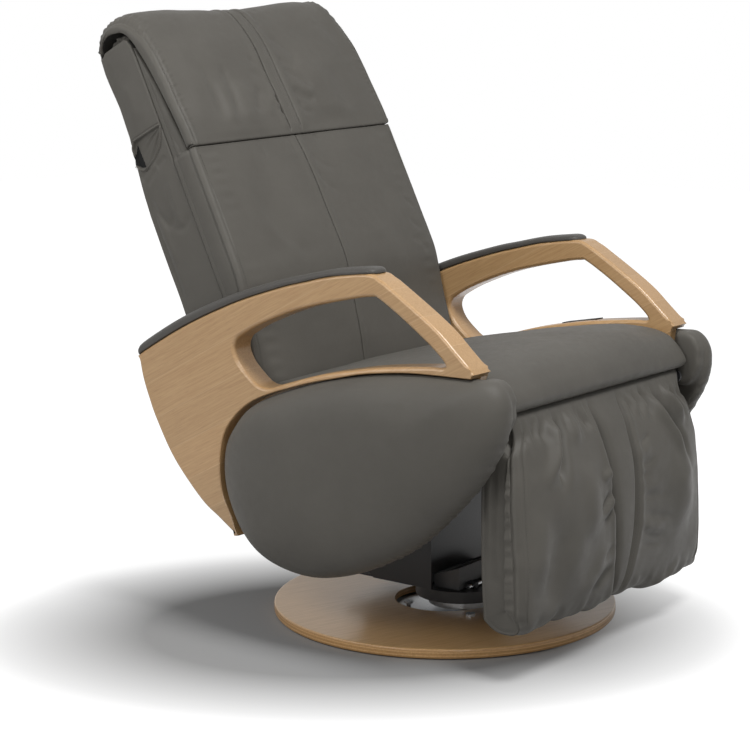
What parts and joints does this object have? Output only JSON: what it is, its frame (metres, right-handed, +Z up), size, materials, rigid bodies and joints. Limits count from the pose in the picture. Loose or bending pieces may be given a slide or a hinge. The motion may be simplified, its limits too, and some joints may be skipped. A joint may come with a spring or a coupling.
{
  "type": "reflexology chair",
  "caption": "Grey brown leather reflexology chair with beech arms, gathered leg rest, headrest flap and turning round beech base",
  "frame": {"origin": "floor under the centre of the round base", "axes": "+Z up, the chair faces -Y, its right arm is at -X, metres"},
  "size_m": [0.7686, 0.9718, 1.0851],
  "materials": {
    "beech": "clear satin lacquer on beech",
    "plywood": "raw plywood",
    "leather": "soft semi-matt leather, grey brown",
    "foam": "padding under dark lining",
    "black_metal": "black powder coat",
    "steel": "zinc plated steel",
    "chrome": "polished chrome",
    "grey_plastic": "moulded plastic",
    "black_plastic": "moulded black plastic",
    "black_rubber": "rubber"
  },
  "bodies": {
    "base": {"floor_glides": "black_rubber", "base_disc": "beech", "base_plate": "steel", "swivel_post": "steel", "base_screws": "steel", "bearing_ring": "steel"},
    "chassis": {"swivel_hub": "black_metal", "hub_pin": "chrome", "chassis_sides": "black_metal", "chassis_front": "black_metal", "chassis_floor": "black_metal", "control_box": "grey_plastic", "power_inlet": "black_plastic", "seat_frame": "black_metal", "seat_board": "plywood", "seat_cushion": "leather", "arm_right": "beech", "arm_left": "beech", "control_strip": "black_plastic", "arm_pad_right": "leather", "arm_pad_left": "leather", "side_cushion_right": "leather", "side_cushion_left": "leather", "arm_bolts": "steel", "leg_pivot_pins": "steel", "back_pivot_pins": "steel", "back_pivot_bushes": "grey_plastic", "actuator_bars": "steel", "leg_tube": "black_plastic", "leg_motor": "black_plastic"},
    "back": {"back_frame": "black_metal", "recline_lever": "black_metal", "back_cushion": "leather", "head_block": "foam", "back_rear_panel": "leather", "back_side_right": "leather", "back_side_left": "leather", "headrest_flap": "leather", "massage_rails": "steel", "lead_screw": "steel", "lift_motor": "black_plastic"},
    "carriage": {"massage_carriage": "steel", "massage_shaft": "steel", "knead_motor": "black_plastic"},
    "massage_right": {"massage_arm_right": "steel"},
    "massage_left": {"massage_arm_left": "steel"},
    "roller_ru": {"roller_right_upper": "black_plastic"},
    "roller_rl": {"roller_right_lower": "black_plastic"},
    "roller_lu": {"roller_left_upper": "black_plastic"},
    "roller_ll": {"roller_left_lower": "black_plastic"},
    "leg_rest": {"leg_rest_frame": "black_metal", "leg_rest_board": "plywood", "leg_rest_cover": "leather", "leg_lever": "black_metal"},
    "recline_drive": {"recline_tube": "black_plastic", "recline_motor": "black_plastic"},
    "recline_push": {"recline_rod": "steel"},
    "leg_push": {"leg_rod": "steel"}
  },
  "joints": [
    {"name": "swivel", "type": "hinge", "parent": "base", "child": "chassis", "pos_m": [0, -0.037, 0.046], "axis": [0, 0, 1], "continuous": true},
    {"name": "recline", "type": "hinge", "parent": "chassis", "child": "back", "pos_m": [0, 0.21, 0.363], "axis": [-1, 0, 0], "range_deg": [0, 45]},
    {"name": "leg_lift", "type": "hinge", "parent": "chassis", "child": "leg_rest", "pos_m": [0, -0.315, 0.421], "axis": [-1, 0, 0], "range_deg": [0, 80]},
    {"name": "massage_lift", "type": "slide", "parent": "back", "child": "carriage", "axis": [0, 0.4305, 0.9026], "range_m": [-0.15, 0.15]},
    {"name": "massage_rock_right", "type": "hinge", "parent": "carriage", "child": "massage_right", "pos_m": [-0.089, 0.35011, 0.64408], "axis": [1, 0, 0], "range_deg": [-6, 6]},
    {"name": "massage_rock_left", "type": "hinge", "parent": "carriage", "child": "massage_left", "pos_m": [0.089, 0.35011, 0.64408], "axis": [1, 0, 0], "range_deg": [-6, 6]},
    {"name": "roller_ru_spin", "type": "hinge", "parent": "massage_right", "child": "roller_ru", "pos_m": [-0.107, 0.35859, 0.7176], "axis": [1, 0, 0], "continuous": true},
    {"name": "roller_rl_spin", "type": "hinge", "parent": "massage_right", "child": "roller_rl", "pos_m": [-0.107, 0.29832, 0.59123], "axis": [1, 0, 0], "continuous": true},
    {"name": "roller_lu_spin", "type": "hinge", "parent": "massage_left", "child": "roller_lu", "pos_m": [0.107, 0.35859, 0.7176], "axis": [1, 0, 0], "continuous": true},
    {"name": "roller_ll_spin", "type": "hinge", "parent": "massage_left", "child": "roller_ll", "pos_m": [0.107, 0.29832, 0.59123], "axis": [1, 0, 0], "continuous": true},
    {"name": "recline_tilt", "type": "hinge", "parent": "chassis", "child": "recline_drive", "pos_m": [-0.038, 0.045, 0.252], "axis": [-1, 0, 0], "range_deg": [0, 8]},
    {"name": "recline_stroke", "type": "slide", "parent": "recline_drive", "child": "recline_push", "axis": [0, 0.9467, 0.3222], "range_m": [-0.053, 0]},
    {"name": "leg_stroke", "type": "slide", "parent": "chassis", "child": "leg_push", "axis": [0, -0.9239, 0.3827], "range_m": [0, 0.098]}
  ],
  "couplings": [
    {"joint": "recline_tilt", "follows": "recline", "ratio": 0.17181},
    {"joint": "recline_stroke", "follows": "recline", "m_per_rad": -0.066},
    {"joint": "leg_stroke", "follows": "leg_lift", "m_per_rad": 0.069},
    {"joint": "massage_rock_left", "follows": "massage_rock_right", "ratio": -1}
  ]
}
